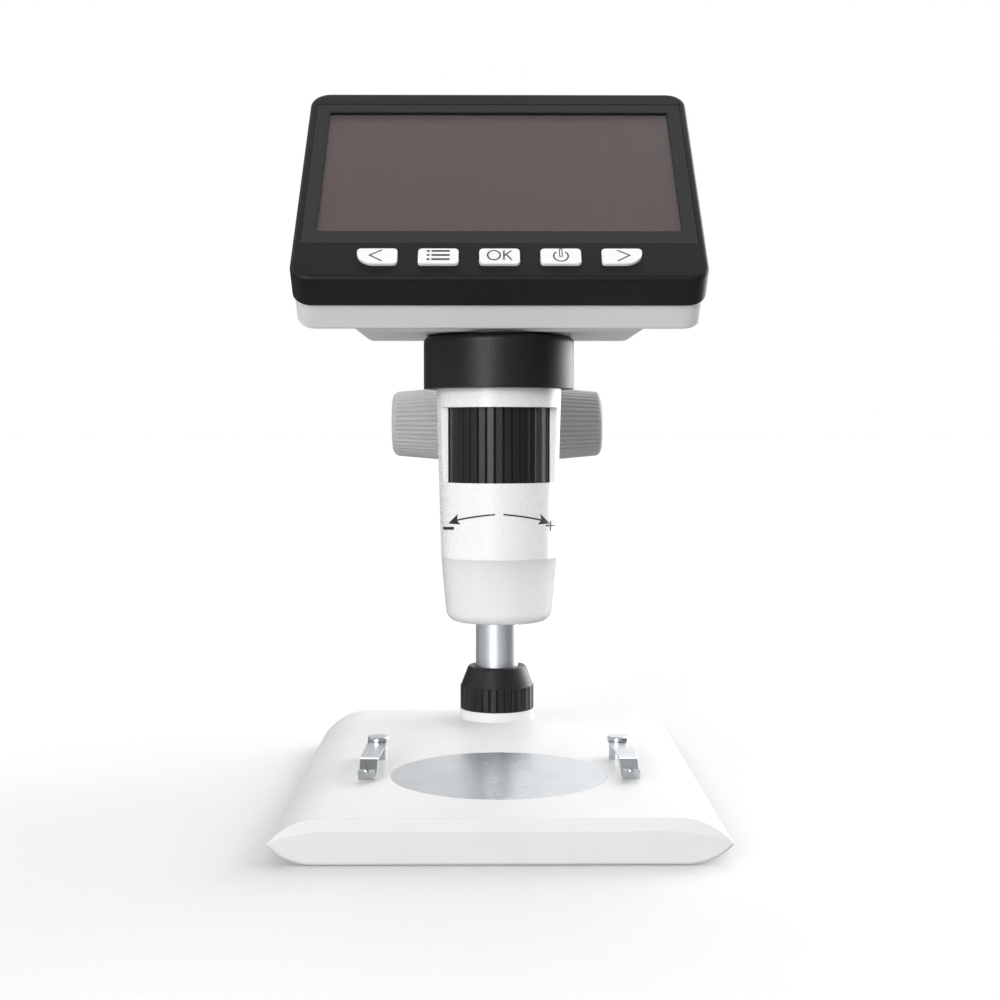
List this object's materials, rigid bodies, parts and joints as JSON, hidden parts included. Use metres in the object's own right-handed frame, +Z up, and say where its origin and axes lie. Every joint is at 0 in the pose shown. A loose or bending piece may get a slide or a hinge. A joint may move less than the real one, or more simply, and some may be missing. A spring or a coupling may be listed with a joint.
{
  "type": "digital microscope",
  "caption": "Digital microscope with a tilted screen head, focusing tube and frosted lamp cap, held in a ring on a rack-and-pinion column stand.",
  "frame": {"origin": "on the table under the centre of the base's outline", "axes": "+Z up along the column; +Y from the screen user towards the column; +X to the right of someone facing the screen"},
  "size_m": [0.1142, 0.155, 0.2026],
  "materials": {
    "white_base": "fine-grained satin",
    "white_tube": "gloss",
    "white_head": "satin",
    "white_button": "gloss",
    "black_bezel": "fine grain",
    "black_stand": "fine grain",
    "black_ring": "satin",
    "black_cover": "matt",
    "knob_grey": "satin",
    "rubber": "matt",
    "column_steel": "satin, drawn lengthwise",
    "stage_steel": "bright",
    "clip_steel": "bright",
    "steel": "plain",
    "brass": "machined",
    "nylon": "natural",
    "frosted": "frosted clear",
    "cover_glass": "clear, dark border",
    "lens_glass": "polished",
    "lcd": "unlit display",
    "circuit": "solder mask",
    "led": "clear yellow",
    "chip": "glass-topped",
    "battery_wrap": "foil",
    "ribbon": "polyimide"
  },
  "bodies": {
    "base": {"base_shell": "white_base", "base_cover": "black_cover", "base_feet": "rubber", "base_screws": "steel", "base_weight": "steel", "stage_disc": "stage_steel", "clip_rivets": "clip_steel", "column_socket": "black_stand"},
    "clip_left": {"clip_left": "clip_steel"},
    "clip_right": {"clip_right": "clip_steel"},
    "lock_nut": {"lock_nut": "black_stand"},
    "column": {"column": "column_steel", "column_cap": "black_stand"},
    "carriage": {"holder_bracket": "black_stand", "carriage_cover": "black_stand", "cover_screws": "steel", "guide_bush_lower": "nylon", "guide_bush_upper": "nylon"},
    "pinion": {"pinion_shaft": "steel", "pinion_gear": "brass", "shaft_washers": "nylon", "knob_left": "knob_grey", "knob_right": "knob_grey", "knob_cap_left": "knob_grey", "knob_cap_right": "knob_grey"},
    "grip": {"grip_liner": "rubber"},
    "scope": {"tube_shell": "white_tube", "diffuser_cap": "frosted", "lens_guide": "black_cover", "led_board": "circuit", "leds": "led", "sensor_holder": "black_cover", "sensor_board": "circuit", "image_sensor": "chip", "sensor_flex": "ribbon", "neck": "black_stand", "neck_screws": "steel", "rear_shell": "white_head", "bezel": "black_bezel", "cover_glass": "cover_glass", "lcd_panel": "lcd", "main_board": "circuit", "tact_switches": "steel", "battery": "battery_wrap", "usb_socket": "steel", "card_socket": "steel", "head_screws": "steel"},
    "focus_ring": {"focus_ring": "black_ring"},
    "lens_barrel": {"lens_barrel": "black_cover", "lenses": "lens_glass"},
    "button_back": {"button_back": "white_button"},
    "button_menu": {"button_menu": "white_button"},
    "button_ok": {"button_ok": "white_button"},
    "button_power": {"button_power": "white_button"},
    "button_next": {"button_next": "white_button"}
  },
  "joints": [
    {"name": "clip_left_turn", "type": "hinge", "parent": "base", "child": "clip_left", "pos_m": [-0.0347, -0.005, 0.0165], "axis": [0, 0, 1], "range_deg": [-20, 75]},
    {"name": "clip_right_turn", "type": "hinge", "parent": "base", "child": "clip_right", "pos_m": [0.0347, -0.005, 0.0165], "axis": [0, 0, 1], "range_deg": [-75, 20]},
    {"name": "lock_nut_turn", "type": "hinge", "parent": "base", "child": "lock_nut", "pos_m": [0, 0.0625, 0.02], "axis": [0, 0, 1], "range_deg": [0, 180]},
    {"name": "column_swing", "type": "hinge", "parent": "base", "child": "column", "pos_m": [0, 0.0625, 0.03], "axis": [0, 0, 1], "range_deg": [-90, 90]},
    {"name": "carriage_slide", "type": "slide", "parent": "column", "child": "carriage", "axis": [0, 0, 1], "range_m": [-0.028, 0.04]},
    {"name": "pinion_turn", "type": "hinge", "parent": "carriage", "child": "pinion", "pos_m": [0, 0.0497, 0.1087], "axis": [1, 0, 0], "range_deg": [-330, 230]},
    {"name": "scope_swivel", "type": "hinge", "parent": "carriage", "child": "grip", "pos_m": [0, -0.0265, 0.125], "axis": [0, 0, 1], "range_deg": [-180, 180]},
    {"name": "scope_lift", "type": "slide", "parent": "grip", "child": "scope", "axis": [0, 0, 1], "range_m": [0, 0.08]},
    {"name": "focus_turn", "type": "hinge", "parent": "scope", "child": "focus_ring", "pos_m": [0, -0.0265, 0.1026], "axis": [0, 0, 1], "range_deg": [-135, 135]},
    {"name": "lens_slide", "type": "slide", "parent": "scope", "child": "lens_barrel", "axis": [0, 0, 1], "range_m": [-0.003, 0.003]},
    {"name": "button_back_press", "type": "slide", "parent": "scope", "child": "button_back", "axis": [0, 0.7071, -0.7071], "range_m": [0, 0.00025], "stiffness_N_per_m": 900, "springref_m": -0.0004},
    {"name": "button_menu_press", "type": "slide", "parent": "scope", "child": "button_menu", "axis": [0, 0.7071, -0.7071], "range_m": [0, 0.00025], "stiffness_N_per_m": 900, "springref_m": -0.0004},
    {"name": "button_ok_press", "type": "slide", "parent": "scope", "child": "button_ok", "axis": [0, 0.7071, -0.7071], "range_m": [0, 0.00025], "stiffness_N_per_m": 900, "springref_m": -0.0004},
    {"name": "button_power_press", "type": "slide", "parent": "scope", "child": "button_power", "axis": [0, 0.7071, -0.7071], "range_m": [0, 0.00025], "stiffness_N_per_m": 900, "springref_m": -0.0004},
    {"name": "button_next_press", "type": "slide", "parent": "scope", "child": "button_next", "axis": [0, 0.7071, -0.7071], "range_m": [0, 0.00025], "stiffness_N_per_m": 900, "springref_m": -0.0004}
  ],
  "couplings": [
    {"joint": "pinion_turn", "follows": "carriage_slide", "rad_per_m": -138.89},
    {"joint": "focus_turn", "follows": "lens_slide", "rad_per_m": 784.61}
  ]
}
